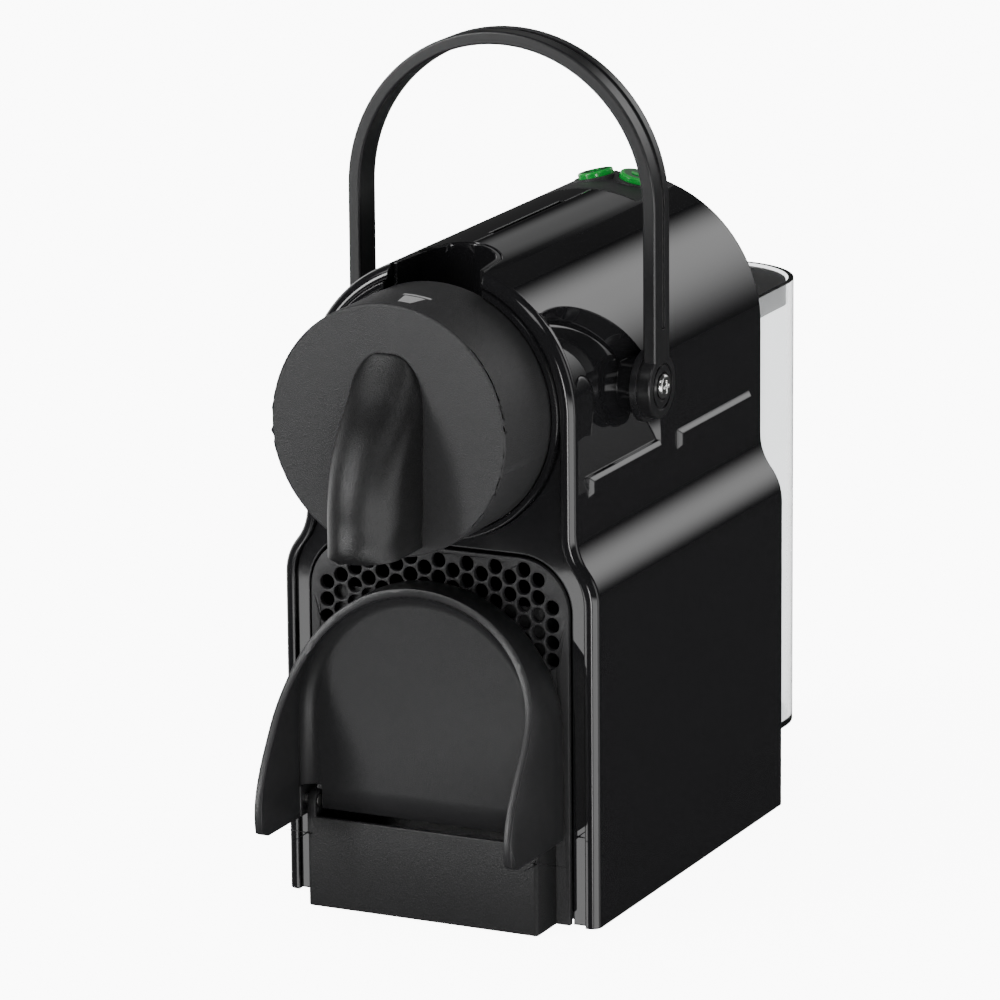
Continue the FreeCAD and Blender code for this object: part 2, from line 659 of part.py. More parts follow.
def make_bail_handle():
    """The lever's bail with a round boss at each foot and a groove round its outer face."""
    outer = size.bail_half
    inner = outer - size.strap
    front = size.pivot_y - size.bail_wide / 2
    bail = bail_band(outer, inner, front, size.bail_wide, size.pivot_z)
    bail = bail.makeFillet(0.8, [e for e in bail.Edges if abs(abs(e.CenterOfMass.y - size.pivot_y)
                                                              - size.bail_wide / 2) < 1e-6
                                 and e.Length > 20])
    for side in (1, -1):
        low = inner if side == 1 else -outer
        boss = x_cylinder(size.boss_radius, low, low + size.strap, size.pivot_y, size.pivot_z)
        boss = boss.makeFillet(0.8, [e for e in boss.Edges if abs(e.CenterOfMass.x - side * outer) < 1e-6])
        bail = bail.fuse(boss)
    groove = bail_band(outer + 1, outer - 0.8, size.pivot_y - 0.4, 2.4, size.pivot_z + 20)
    bail = bail.cut(groove)
    for side in (1, -1):
        low = outer - 0.7 if side == 1 else -outer - 0.3
        rings = x_cylinder(8.2, low, low + 1, size.pivot_y, size.pivot_z)
        rings = rings.cut(x_cylinder(7.2, low, low + 1, size.pivot_y, size.pivot_z))
        well = x_cylinder(5.2, low, low + 1, size.pivot_y, size.pivot_z)
        bail = bail.cut(rings).cut(well)
    bail = bail.cut(x_cylinder(2.05, -70, 70, size.pivot_y, size.pivot_z))
    finish("bail_handle", solid(bail.removeSplitter()))


def make_lever_discs():
    """Rimmed discs between the bail's feet and the body, on the shafts."""
    disc = cut(rod("x", "disc_radius", "disc_in", "disc_out - disc_in", y="pivot_y", z="pivot_z"),
               rod("x", "shaft_radius", "disc_in - 1", "5", y="pivot_y", z="pivot_z"))
    finish("lever_discs", fuse(disc, mirrored(disc)))


def make_lever_screws():
    """Cross-head screws that hold the bail on the shafts."""
    head = rod("x", "4.4", "bail_half - 0.7", "2.1", y="pivot_y", z="pivot_z")
    head = rounded(head, 1.3, lambda edge: edge.CenterOfMass.x > size.bail_half + 1)
    head = cut(head,
               span(("bail_half + 0.6", "bail_half + 2"), ("pivot_y - 0.5", "pivot_y + 0.5"),
                    ("pivot_z - 2.3", "pivot_z + 2.3")),
               span(("bail_half + 0.6", "bail_half + 2"), ("pivot_y - 2.3", "pivot_y + 2.3"),
                    ("pivot_z - 0.5", "pivot_z + 0.5")))
    shank = rod("x", "2", "disc_out - 8.5", "bail_half - disc_out + 8.5", y="pivot_y", z="pivot_z")
    screw = fuse(head, shank)
    finish("lever_screws", fuse(screw, mirrored(screw)))


# ---- control panel ------------------------------------------------------------------------

def button_place(side):
    """Where a button stands on the panel, and how it leans."""
    return Placement(Vector(side * size.button_x, size.button_y, size.button_z),
                     Rotation(Y_AXIS, side * size.button_tilt))


def make_control_panel():
    """Matte saddle at the rear of the top with a raised collar round each button."""
    front = size.panel_front
    rear = size.body_deep - 0.2
    skin = y_cylinder(size.arch_radius + 0.1, front, rear).cut(
        y_cylinder(size.arch_radius - size.wall - 0.1, front - 1, rear + 1))
    skin = skin.common(block((-size.panel_half, size.panel_half), (front, rear), (200, 240)))
    for side in (-1, 1):
        collar = Part.makeCone(size.collar_radius + 1.2, size.collar_radius, 5.4, Vector(0, 0, -7.4))
        collar.Placement = button_place(side)
        skin = skin.fuse(collar.common(y_cylinder(size.arch_radius + 4, front, rear)))
    middle = block((-size.panel_half, size.panel_half), (front, rear), (215, 240))
    skin = skin.common(middle).cut(y_cylinder(size.arch_radius - size.wall - 0.1, front - 1, rear + 1))
    for side in (-1, 1):
        hole = Part.makeCylinder(size.button_radius + 0.3, 30, Vector(0, 0, -20))
        hole.Placement = button_place(side)
        skin = skin.cut(hole)
    finish("control_panel", solid(skin.removeSplitter()))


def make_buttons():
    """Two round keys: a translucent cap with a dark inlay on its top."""
    for side, label in ((-1, "espresso_button"), (1, "lungo_button")):
        tall = size.button_tall
        cap = Part.makeCylinder(size.button_radius, tall, Vector(0, 0, -tall))
        cap = cap.makeFillet(0.7, [e for e in cap.Edges if abs(e.CenterOfMass.z) < 1e-6
                                   and e.Length > 10])
        cap = cap.cut(Part.makeCylinder(size.button_radius - 1.4, 1.0, Vector(0, 0, -0.6)))
        stem = Part.makeCylinder(2.2, 6.0, Vector(0, 0, -tall - 6.0))
        inlay = Part.makeCylinder(size.button_radius - 1.45, 0.6, Vector(0, 0, -0.6))
        for name, shape in ((label, cap.fuse(stem)), (label + "_inlay", inlay)):
            shape.Placement = button_place(side)
            finish(name, solid(shape.removeSplitter()))


def make_control_board():
    """Circuit board under the panel with one key switch under each button."""
    board = span(("-16", "16"), ("130", "157"), ("212.6", "214.2"))
    finish("control_board", board_with_parts(board))
    switches = []
    for side in (-1, 1):
        place = button_place(side)
        foot = place.multVec(Vector(0, 0, -size.button_tall - 6.0 - 1.9))
        switches.append(span(("%g - 3" % foot.x, "%g + 3" % foot.x), ("button_y - 3", "button_y + 3"),
                             ("214.2", "%g" % (foot.z - 0.6))))
    finish("key_switches", fuse(*switches))


def board_with_parts(board):
    chips = [span(("-12", "-4"), ("133", "140"), ("211.2", "212.6")),
             span(("3", "13"), ("133", "137"), ("209.8", "212.6"))]
    return fuse(board, *chips)


# ---- water and power ----------------------------------------------------------------------

def make_pump():
    """Vibration pump: brass ends, a coil block and two rubber mounts."""
    finish("pump_body", fuse(rod("x", "8", "-34", "68", y="128", z="52"),
                             rod("x", "4", "-44", "10.2", y="128", z="52"),
                             rod("x", "3", "33.8", "9.2", y="128", z="52")))
    finish("pump_coil", cut(span(("-16", "16"), ("110", "146"), ("35", "69")),
                            rod("x", "8", "-20", "40", y="128", z="52")))
    mounts = []
    for start in ("-30", "23"):
        ring = cut(rod("x", "13", start, "7", y="128", z="52"),
                   rod("x", "8", "%s - 1" % start, "9", y="128", z="52"))
        mounts.append(ring)
    finish("pump_mounts", fuse(*mounts))
    cradle = [span((start, "%s + 7" % start), ("112", "144"), ("4.2", "38.9")) for start in ("-30", "23")]
    cut_ring = rod("x", "13", "-31", "62", y="128", z="52")
    finish("pump_cradle", cut(fuse(*cradle), cut_ring))


def make_thermoblock():
    """Heating block behind the brewing group, with its connection stubs."""
    core = rounded(span(("-28", "28"), ("120", "150"), ("112", "152")), 4.0, upright)
    ribs = [span(("-30", "30"), ("%g" % y, "%g" % (y + 2)), ("116", "148")) for y in (124, 131, 138, 145)]
    stub = rod("z", "3", "151", "6", x="0", y="135")
    finish("thermoblock", fuse(core, stub, *ribs))
    finish("thermostat", fuse(rod("z", "8", "152", "4", x="-18", y="135"),
                              span(("-22", "-14"), ("133", "137"), ("155.9", "161"))))


def make_chassis():
    """Steel uprights that carry the brewing group, with a shelf for the heating block."""
    post = span(("31", "33.6"), ("97", "148.8"), ("4.2", "112"))
    neck = span(("31", "33.6"), ("97", "117.5"), ("112", "frame_low"))
    shelf = span(("-31", "31"), ("119.5", "148.8"), ("109.5", "112"))
    window = span(("30", "35"), ("106", "141"), ("30", "92"))
    side = cut(fuse(post, neck), window)
    finish("chassis", fuse(side, mirrored(side), shelf))


def tube(points, radius, bore, bend):
    """A hose along straight runs joined by round bends."""
    edges = []
    here = points[0]
    for number in range(1, len(points) - 1):
        corner = points[number]
        back = (points[number - 1] - corner).normalize()
        onward = (points[number + 1] - corner).normalize()
        turn = math.acos(max(-1, min(1, back.dot(onward))))
        reach = bend / math.tan(turn / 2)
        start = corner + back * reach
        end = corner + onward * reach
        inward = (back + onward).normalize()
        middle = corner + inward * (bend / math.sin(turn / 2) - bend)
        edges.append(line(here, start))
        edges.append(arc(start, middle, end))
        here = end
    edges.append(line(here, points[-1]))
    path = Part.Wire(edges)
    direction = points[1] - points[0]
    rings = [Part.Wire(Part.makeCircle(r, points[0], direction)) for r in (radius, bore)]
    outer, inner = [path.makePipeShell([ring], True, True) for ring in rings]
    return outer.cut(inner)


def make_hoses():
    inlet = [Vector(0, 170.2, 16), Vector(0, 152, 16), Vector(-50.5, 152, 16), Vector(-50.5, 128, 16),
             Vector(-50.5, 128, 52), Vector(-44, 128, 52)]
    finish("inlet_hose", solid(tube(inlet, 2.6, 1.6, 3.0)))
    outlet = [Vector(43, 128, 52), Vector(50, 128, 52), Vector(50, 128, 100), Vector(40, 135, 100),
              Vector(40, 135, 165), Vector(0, 135, 165), Vector(0, 135, 157)]
    finish("pressure_hose", solid(tube(outlet, 2.0, 1.1, 3.0)))


def make_tank_valve_seat():
    """Sealed socket in the shelf that the tank's valve plugs into."""
    seat = cut(fuse(rod("z", "11", "tank_low - 9.0", "8.4", y="184"),
                    span(("-4", "4"), ("170.2", "184"), ("12.2", "19.6"))),
               rod("z", "8.3", "tank_low - 7.4", "9", y="184"),
               rod("y", "1.6", "168", "12", z="16"))
    finish("tank_valve_seat", seat)
    lip = cut(rod("z", "8.3", "tank_low - 7.4", "1.4", y="184"),
              rod("z", "4.5", "tank_low - 8", "3", y="184"))
    finish("valve_seal", lip)


def make_power_inlet():
    """Strain relief in the rear cover's foot where the mains lead leaves, and its clamp."""
    gland = cut(fuse(rod("y", "5.5", "body_deep - 6", "8", x="42", z="12"),
                     rod("y", "4.2", "body_deep + 2", "8", x="42", z="12")),
                rod("y", "3.4", "body_deep - 7", "20", x="42", z="12"))
    finish("cord_gland", gland)


# ---- water tank ---------------------------------------------------------------------------

def make_water_tank():
    """Clear tank that hangs behind the body and stands on the shelf."""
    body = new_body("water_tank")
    outline = new_sketch(body, "XY_Plane", "tank_low")
    draw_box(outline, "-tank_half", "tank_front", "2 * tank_half", "tank_rear - tank_front")
    pad(body, outline, "tank_high - tank_low")
    inside = new_sketch(body, "XY_Plane", "tank_high + 1")
    draw_box(inside, "-tank_half + tank_wall", "tank_front + tank_wall",
             "2 * tank_half - 2 * tank_wall", "tank_rear - tank_front - 2 * tank_wall")
    pocket(body, inside, "tank_high - tank_low - tank_wall + 1")
    inner_rear = size.tank_rear - size.tank_wall
    round_body(body, size.tank_round - size.tank_wall, lambda edge: upright(edge)
               and abs(edge.CenterOfMass.y - inner_rear) < 0.01)
    round_body(body, size.tank_round, lambda edge: upright(edge)
               and abs(edge.CenterOfMass.y - size.tank_rear) < 0.01
               and abs(edge.CenterOfMass.x) > size.tank_half - 0.01)
    round_body(body, 3.0, lambda edge: upright(edge)
               and abs(edge.CenterOfMass.y - size.tank_front) < 0.01)
    spigot = new_sketch(body, "XY_Plane", "tank_low - 5.5")
    draw_circle(spigot, "0", "184", "7.8")
    pad(body, spigot, "6.5")
    drain = new_sketch(body, "XY_Plane", "tank_low + 5")
    draw_circle(drain, "0", "184", "4.6")
    pocket(body, drain, "12")


def make_tank_valve():
    """Spring-loaded poppet in the tank's outlet, in one piece with its stem."""
    finish("tank_valve", fuse(rod("z", "4.5", "tank_low - 4", "3", y="184"),
                              rod("z", "1.5", "tank_low - 2", "9", y="184"),
                              rod("z", "6.5", "tank_low + tank_wall", "1.8", y="184")))


def make_tank_lid():
    """Lid that lies inside the tank's rim, with a skirt and a raised grip at its rear edge."""
    side = size.tank_half - size.tank_wall - 0.6
    front = size.tank_front + size.tank_wall + 0.6
    rear = size.tank_rear - size.tank_wall - 1.2
    top = size.tank_high - 0.8
    outer = block((-side, side), (front, rear), (size.lid_low, top))
    outer = outer.makeFillet(size.tank_round - size.tank_wall - 0.6,
                             [e for e in outer.Edges if upright(e) and e.CenterOfMass.y > 190])
    inner = block((-side + 1.6, side - 1.6), (front + 1.6, rear - 1.6), (size.lid_low - 1, top - 2.0))
    inner = inner.makeFillet(size.tank_round - size.tank_wall - 2.2,
                             [e for e in inner.Edges if upright(e) and e.CenterOfMass.y > 190])
    grip = block((-20.0, 20.0), (rear - 9.0, rear), (top - 1.0, top + 0.8))
    grip = grip.makeFillet(0.7, [e for e in grip.Edges if abs(e.CenterOfMass.z - top - 0.8) < 1e-6])
    finish("tank_lid", solid(outer.cut(inner).fuse(grip).removeSplitter()))


# ---- front unit ---------------------------------------------------------------------------

def door_prism(inset, front, deep):
    """The front unit's outline: straight sides and two large round upper corners."""
    half = size.door_half - inset
    top = size.door_high - inset
    shape = block((-half, half), (front, front + deep), (size.shell_low, top))
    edges = [e for e in shape.Edges if abs(e.CenterOfMass.z - top) < 1e-6
             and abs(abs(e.CenterOfMass.x) - half) < 1e-6]
    return shape.makeFillet(size.door_round - inset, edges)


def hole_places():
    """Centres of the air holes: a hexagonal net above an arch, clear of the rounded corners."""
    pitch = size.hole_pitch
    rise = pitch / math.cos(math.radians(30))
    corner_x = size.door_half - size.door_round
    corner_z = size.door_high - size.door_round
    for column in range(-8, 9):
        x = column * pitch
        first = size.hole_top - (rise / 2 if column % 2 else 0)
        for row in range(6):
            z = first - row * rise
            out_x = abs(x) - corner_x
            out_z = z - corner_z
            in_corner = out_x > 0 and out_z > 0 and math.hypot(out_x, out_z) > size.door_round - 4.0
            above = math.hypot(x, z - size.cup_arch_z) > size.hole_arch
            if above and not in_corner:
                yield x, z


def make_grille_panel():
    """Front plate of the pull-out unit, pierced over the cup."""
    plate = door_prism(0, size.door_front, size.door_thick)
    holes = [y_cylinder(size.hole_radius, -1, 5, x, z) for x, z in hole_places()]
    finish("grille_panel", solid(plate.cut(Part.makeCompound(holes))))


def make_drip_tray():
    """Box in front of the unit that catches drips, with the cup support's hinge ears."""
    body = new_body("drip_tray")
    outline = new_sketch(body, "XY_Plane", "shell_low")
    draw_box(outline, "-tray_half", "tray_front", "2 * tray_half", "door_front - 0.02 - tray_front")
    pad(body, outline, "tray_high - shell_low")
    round_body(body, 1.5, lambda edge: upright(edge) and edge.CenterOfMass.y < size.tray_front + 1)
    inside = new_sketch(body, "XY_Plane", "tray_high + 1")
    draw_box(inside, "-tray_half + 2.2", "tray_front + 2.2", "2 * tray_half - 4.4",
             "door_front - tray_front - 4.4")
    pocket(body, inside, "tray_high - 3.5")
    for left in ("-tray_half", "tray_half - 3.2"):
        ear = new_sketch(body, "YZ_Plane", left)
        draw_box(ear, "hinge_y - 4", "tray_high - 6", "8", "hinge_z - tray_high + 6")
        pad(body, ear, "3.2")
        knuckle = new_sketch(body, "YZ_Plane", left)
        draw_circle(knuckle, "hinge_y", "hinge_z", "4")
        pad(body, knuckle, "3.2")
    bore = new_sketch(body, "YZ_Plane", "-tray_half - 1")
    draw_circle(bore, "hinge_y", "hinge_z", "hinge_pin")
    pocket(body, bore, "2 * tray_half + 2", back=True)


def make_hinge_pins():
    """Two steel pins, pressed into the ears, that carry the cup support."""
    pin = rod("x", "hinge_pin", "tray_half - 3.2", "6.2", y="hinge_y", z="hinge_z")
    finish("hinge_pins", fuse(pin, mirrored(pin)))


def make_capsule_bin():
    """Container for used capsules behind the front plate."""
    outer = rounded(span(("-bin_half", "bin_half"), ("door_front + door_thick + 0.02", "bin_end"),
                         ("bin_low", "bin_high")), 6.0,
                    lambda edge: upright(edge) and edge.CenterOfMass.y > 50)
    inner = span(("-bin_half + 1.8", "bin_half - 1.8"), ("door_front + door_thick + 2", "bin_end - 1.8"),
                 ("bin_low + 1.8", "bin_high + 1"))
    vents = [span(("%g" % x, "%g" % (x + 3)), ("20", "80"), ("bin_low - 1", "bin_low + 3"))
             for x in range(-30, 31, 10)]
    finish("capsule_bin", cut(outer, inner, *vents))


def make_waste_tray():
    """Lower drawer that carries the bin and takes the water that runs through it."""
    body = new_body("waste_tray")
    outline = new_sketch(body, "XY_Plane", "4.8")
    draw_box(outline, "-45.5", "door_front + door_thick + 0.02", "91", "88")
    pad(body, outline, "bin_low - 4.8")
    inside = new_sketch(body, "XY_Plane", "bin_low + 1")
    draw_box(inside, "-43.5", "door_front + door_thick + 2", "87", "84")
    pocket(body, inside, "bin_low + 1 - 6.8")
    ledge = new_sketch(body, "XY_Plane", "bin_low - 2")
    draw_box(ledge, "-44.5", "door_front + door_thick + 1", "7", "85")
    draw_box(ledge, "37.5", "door_front + door_thick + 1", "7", "85")
    pad(body, ledge, "2")


# ---- folding cup support ------------------------------------------------------------------

def cup_outline(inset, low, front, deep):
    half = size.cup_half - inset
    middle = size.cup_arch_z
    edges = [line(Vector(-half, front, low), Vector(half, front, low)),
             line(Vector(half, front, low), Vector(half, front, middle)),
             arc(Vector(half, front, middle), Vector(0, front, middle + half),
                 Vector(-half, front, middle)),
             line(Vector(-half, front, middle), Vector(-half, front, low))]
    return Part.Face(Part.Wire(Part.__sortEdges__(edges))).extrude(Vector(0, deep, 0))


WING = [
    # height and reach of the wall's front edge, from the crown down to the rounded tip
    (119.4, -15.5), (113.0, -15.3), (107.0, -16.0), (100.0, -17.5), (91.0, -20.5), (81.0, -25.4),
    (72.0, -31.4), (62.3, -37.8), (53.7, -42.5), (46.2, -45.0), (40.6, -45.6), (34.6, -44.9),
]


def make_cup_support():
    """Arched cup support, folded up: a wall that widens into two wings and a floor plate."""
    low = size.cup_low
    wall = cup_outline(0, low, -60, 60 + size.cup_rear)
    wall = wall.cut(cup_outline(size.cup_wall, low - 1, -61, 70))
    curve = Part.BSplineCurve()
    curve.interpolate([Vector(-60, y, z) for z, y in WING])
    tip = Vector(-60, WING[-1][1], WING[-1][0])
    under = Vector(-60, -40.0, low)
    top = Vector(-60, WING[0][1], 125)
    edges = [curve.toShape(), line(Vector(-60, WING[0][1], WING[0][0]), top),
             line(top, Vector(-60, 0, 125)), line(Vector(-60, 0, 125), Vector(-60, 0, low)),
             line(Vector(-60, 0, low), under), arc(under, Vector(-60, -42.8, low + 1.0), tip)]
    side_view = Part.Face(Part.Wire(Part.__sortEdges__(edges))).extrude(Vector(120, 0, 0))
    wall = wall.common(side_view)
    plate = cup_outline(size.cup_wall - 0.5, low + 3.0, size.plate_front, size.plate_thick)
    shell = wall.fuse(plate).removeSplitter()
    root = [e for e in shell.Edges if abs(e.CenterOfMass.y - size.plate_front) < 1e-6
            and all(abs(v.Point.y - size.plate_front) < 1e-6 for v in e.Vertexes)
            and e.CenterOfMass.z > low + 4]
    shell = shell.makeFillet(5.0, root)
    for side in (-1, 1):
        start = side * (size.tray_half - 4.4)
        end = side * (size.cup_half - size.cup_wall + 0.02)
        notch = block((min(start, end), max(start, end)), (size.hinge_y - 5.6, size.cup_rear + 1),
                      (low - 1, size.hinge_z + 6))
        pin_hole = x_cylinder(size.hinge_pin + 0.05, *flank(side, 45.0, 48.0), size.hinge_y, size.hinge_z)
        shell = shell.cut(notch).cut(pin_hole)
    finish("cup_support", solid(shell.removeSplitter()))


def make_drip_grid():
    """Slotted grid that lies in the cup support when it is folded down."""
    grid = cup_outline(size.cup_wall + 0.4, size.cup_low + 14, size.cup_rear - 2.0, 1.6)
    for number in range(-5, 6):
        x = number * 7.5
        high = size.cup_arch_z + math.sqrt(max(0, 40.0 ** 2 - x ** 2))
        grid = grid.cut(block((x - 1.6, x + 1.6), (-10, 0), (size.cup_low + 20, high)))
    legs = [block((x - 1.5, x + 1.5), (size.plate_front + size.plate_thick, size.cup_rear - 1.5), (z, z + 4))
            for x in (-34.0, 34.0) for z in (56.0, 78.0)]
    for leg in legs:
        grid = grid.fuse(leg)
    finish("drip_grid", solid(grid.removeSplitter()))


# ---- assembly -----------------------------------------------------------------------------

MAKERS = [
    make_shells, make_front_fascia, make_head_collar, make_slot_liner, make_rear_cover,
    make_base_plate, make_rubber_feet, make_head_shell, make_outlet_cover, make_outlet_duct,
    make_brew_frame, make_extraction_plate, make_capsule_cage, make_cage_seal,
    make_piercing_blades, make_slot_shutter, make_cranks, make_bail_handle, make_lever_discs,
    make_lever_screws, make_control_panel, make_buttons, make_control_board, make_pump,
    make_thermoblock, make_chassis, make_hoses, make_tank_valve_seat, make_power_inlet, make_water_tank,
    make_tank_valve, make_tank_lid, make_grille_panel, make_drip_tray, make_hinge_pins,
    make_capsule_bin, make_waste_tray, make_cup_support, make_drip_grid,
]

for make in MAKERS:
    make()
doc.recompute()

for item in doc.Objects:
    if "Invalid" in item.State or "Error" in item.State:
        raise RuntimeError("%s (%s) did not recompute: %s" % (item.Name, item.Label, item.State))
for label, piece in sub_parts.items():
    if piece.Shape.isNull() or not piece.Shape.isValid() or piece.Shape.Volume <= 0:
        raise RuntimeError("%s has no valid shape" % label)

os.makedirs("parts", exist_ok=True)
for label, piece in sub_parts.items():
    piece.Shape.exportStep("parts/%s.step" % label)
print("%d sub-parts written" % len(sub_parts))
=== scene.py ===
import json
import math
from math import radians

import bpy
from mathutils import Matrix, Vector

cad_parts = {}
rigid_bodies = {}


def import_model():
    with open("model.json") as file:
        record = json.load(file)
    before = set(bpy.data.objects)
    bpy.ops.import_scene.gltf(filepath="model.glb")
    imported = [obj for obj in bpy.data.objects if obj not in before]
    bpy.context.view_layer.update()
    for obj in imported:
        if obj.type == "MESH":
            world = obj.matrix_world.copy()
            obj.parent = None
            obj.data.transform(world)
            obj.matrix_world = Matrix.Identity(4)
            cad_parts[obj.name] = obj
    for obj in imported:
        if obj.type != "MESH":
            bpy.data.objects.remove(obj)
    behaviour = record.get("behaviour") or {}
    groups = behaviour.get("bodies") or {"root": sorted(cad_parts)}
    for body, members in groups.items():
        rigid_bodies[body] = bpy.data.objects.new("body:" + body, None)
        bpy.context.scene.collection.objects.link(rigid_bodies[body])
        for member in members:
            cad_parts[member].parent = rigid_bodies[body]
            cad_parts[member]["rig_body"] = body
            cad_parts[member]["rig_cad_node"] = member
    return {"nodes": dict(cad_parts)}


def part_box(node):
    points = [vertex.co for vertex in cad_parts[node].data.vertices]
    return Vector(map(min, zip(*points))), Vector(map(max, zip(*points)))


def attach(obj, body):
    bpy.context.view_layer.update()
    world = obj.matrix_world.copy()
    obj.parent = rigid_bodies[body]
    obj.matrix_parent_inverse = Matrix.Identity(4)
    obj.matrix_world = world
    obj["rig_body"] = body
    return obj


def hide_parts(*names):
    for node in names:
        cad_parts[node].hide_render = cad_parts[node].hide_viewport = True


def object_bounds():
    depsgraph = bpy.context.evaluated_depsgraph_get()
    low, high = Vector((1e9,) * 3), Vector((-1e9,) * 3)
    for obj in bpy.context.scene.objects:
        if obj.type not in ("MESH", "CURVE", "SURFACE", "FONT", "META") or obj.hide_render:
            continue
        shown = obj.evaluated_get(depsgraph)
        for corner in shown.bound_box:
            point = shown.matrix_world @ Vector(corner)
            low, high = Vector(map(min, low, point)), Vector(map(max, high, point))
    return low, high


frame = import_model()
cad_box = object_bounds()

nodes = frame["nodes"]


# ---------------------------------------------------------------- body shells
# Two half shells of high-gloss black ABS, moulded separately and clipped together along
# the top. The tool is polished, so only a faint orange peel, dust and wiping marks show.
class Value:
    """A shader socket that can be reckoned with like a number."""

    def __init__(self, tree, socket):
        self.tree = tree
        self.socket = socket

    def reckon(self, operation, *others):
        return self.tree.node("ShaderNodeMath", {"operation": operation}, *others)

    def __add__(self, other):
        return self.reckon("ADD", self, other)

    __radd__ = __add__

    def __mul__(self, other):
        return self.reckon("MULTIPLY", self, other)

    __rmul__ = __mul__

    def __sub__(self, other):
        return self.reckon("SUBTRACT", self, other)

    def __rsub__(self, other):
        return self.reckon("SUBTRACT", other, self)

    def smooth(self, start, end):
        """0 below start and 1 above end, with a smooth step between."""
        settings = {"interpolation_type": "SMOOTHSTEP"}
        return self.tree.node("ShaderNodeMapRange", settings, self, start, end, 0.0, 1.0)


class Tree:
    """The shader nodes of a material or of the world."""

    def __init__(self, owner):
        owner.use_nodes = True
        self.nodes = owner.node_tree.nodes
        self.links = owner.node_tree.links

    def node(self, kind, settings, *values, output=0, **named):
        """Any node: its settings first, then the values or links of its sockets."""
        made = self.nodes.new(kind)
        for setting, choice in settings.items():
            setattr(made, setting, choice)
        for socket, value in [*enumerate(values), *named.items()]:
            self.feed(made.inputs[socket], value)
        return Value(self, made.outputs[output])

    def feed(self, socket, value):
        if isinstance(value, Value):
            self.links.new(value.socket, socket)
        elif value is not None:
            socket.default_value = value

    def mix(self, share, first, second):
        """Colours blended by a share: the Mix node's colour sockets follow five unused ones."""
        unused = [None] * 5
        return self.node("ShaderNodeMix", {"data_type": "RGBA"}, share, *unused, first, second, output=2)


class Finish(Tree):
    """A named material: its Principled shader, and what varies it over a surface."""

    def __init__(self, name, colour, rough, **constants):
        self.material = bpy.data.materials.new(name)
        super().__init__(self.material)
        self.shader = self.nodes["Principled BSDF"]
        self.place = self.node("ShaderNodeTexCoord", {}, output="Object")
        self.give("Base Color", (*colour, 1.0))
        self.give("Roughness", rough)
        for socket, number in constants.items():
            self.give(socket.replace("_", " "), number)

    def give(self, socket, value):
        """Sets or links a socket of the Principled shader."""
        self.feed(self.shader.inputs[socket], value)

    def noise(self, size, detail=2.0, seed=0.0):
        """Fractal noise whose lumps are about size metres across."""
        moved = self.node("ShaderNodeVectorMath", {"operation": "ADD"}, self.place, (seed, 2 * seed, 0))
        return self.node("ShaderNodeTexNoise", {}, moved, Scale=1.0 / size, Detail=detail)

    def cells(self, size):
        """Pebble grain whose cells are about size metres across."""
        return self.node("ShaderNodeTexVoronoi", {"feature": "F1"}, self.place, Scale=1.0 / size)

    def bump(self, height, tall, edge=0.00025):
        """Raises the surface by height, from 0 to 1, over tall metres, and rounds the look of
        sharp edges by edge metres."""
        eased = self.node("ShaderNodeBevel", {"samples": 6}, Radius=edge)
        self.give("Normal", self.node("ShaderNodeBump", {}, Distance=tall, Height=height, Normal=eased))


def gloss_plastic(name, colour, rough):
    """Polished black moulding with a faint orange peel, settled dust and wiping marks."""
    finish = Finish(name, colour, rough, IOR=1.5, Specular_IOR_Level=0.5)
    peel = finish.noise(0.006, 1.0)
    dust = finish.noise(0.0004, 2.0, 3.1).smooth(0.68, 0.78)
    wiped = finish.noise(0.03, 3.0, 7.7).smooth(0.45, 0.75)
    finish.give("Roughness", rough + wiped * 0.015 + dust * 0.1)
    finish.give("Base Color", finish.mix(dust * 0.5, (*colour, 1), (0.03, 0.03, 0.031, 1)))
    finish.bump(peel + dust * 0.1, 0.000002, edge=0.0007)
    return finish


gloss_black = gloss_plastic("gloss_black_abs", (0.0055, 0.0055, 0.006), 0.04)


def paint(finish, *names):
    """Gives CAD nodes their finish."""
    for name in names:
        nodes[name].data.materials.clear()
        nodes[name].data.materials.append(finish.material)


paint(gloss_black, "left_shell", "right_shell", "slot_liner")


# ---------------------------------------------------------------- front fascia and head collar
# The front panel behind the trays and the narrow ring round the brew head are separate
# polished mouldings of the same black, clipped in from the front.
fascia_black = gloss_plastic("gloss_black_fascia", (0.0055, 0.0055, 0.006), 0.025)
paint(fascia_black, "front_fascia", "head_collar")


# ---------------------------------------------------------------- textured black parts
# Everything a hand or a cup touches is moulded in a spark-eroded tool: small pebbles over
# the whole face, a little shinier on the spout and on worn places.
def grained_plastic(name, colour, rough, grain, tall, polish=0.0):
    """Textured black moulding: pebble grain, uneven gloss and pale rubbed specks."""
    finish = Finish(name, colour, rough, IOR=1.5, Specular_IOR_Level=0.5)
    pebbles = finish.cells(grain)
    fine = finish.noise(grain * 0.55, 3.0, 1.3)
    broad = finish.noise(0.02, 3.0, 5.2)
    finish.give("Roughness", rough + (broad - 0.5) * 0.12 - fine.smooth(0.62, 0.74) * polish)
    pale = tuple(2.2 * part for part in colour)
    finish.give("Base Color", finish.mix(fine.smooth(0.4, 0.8) * 0.6, (*colour, 1), (*pale, 1)))
    finish.bump(pebbles * 0.6 + fine, tall)
    return finish


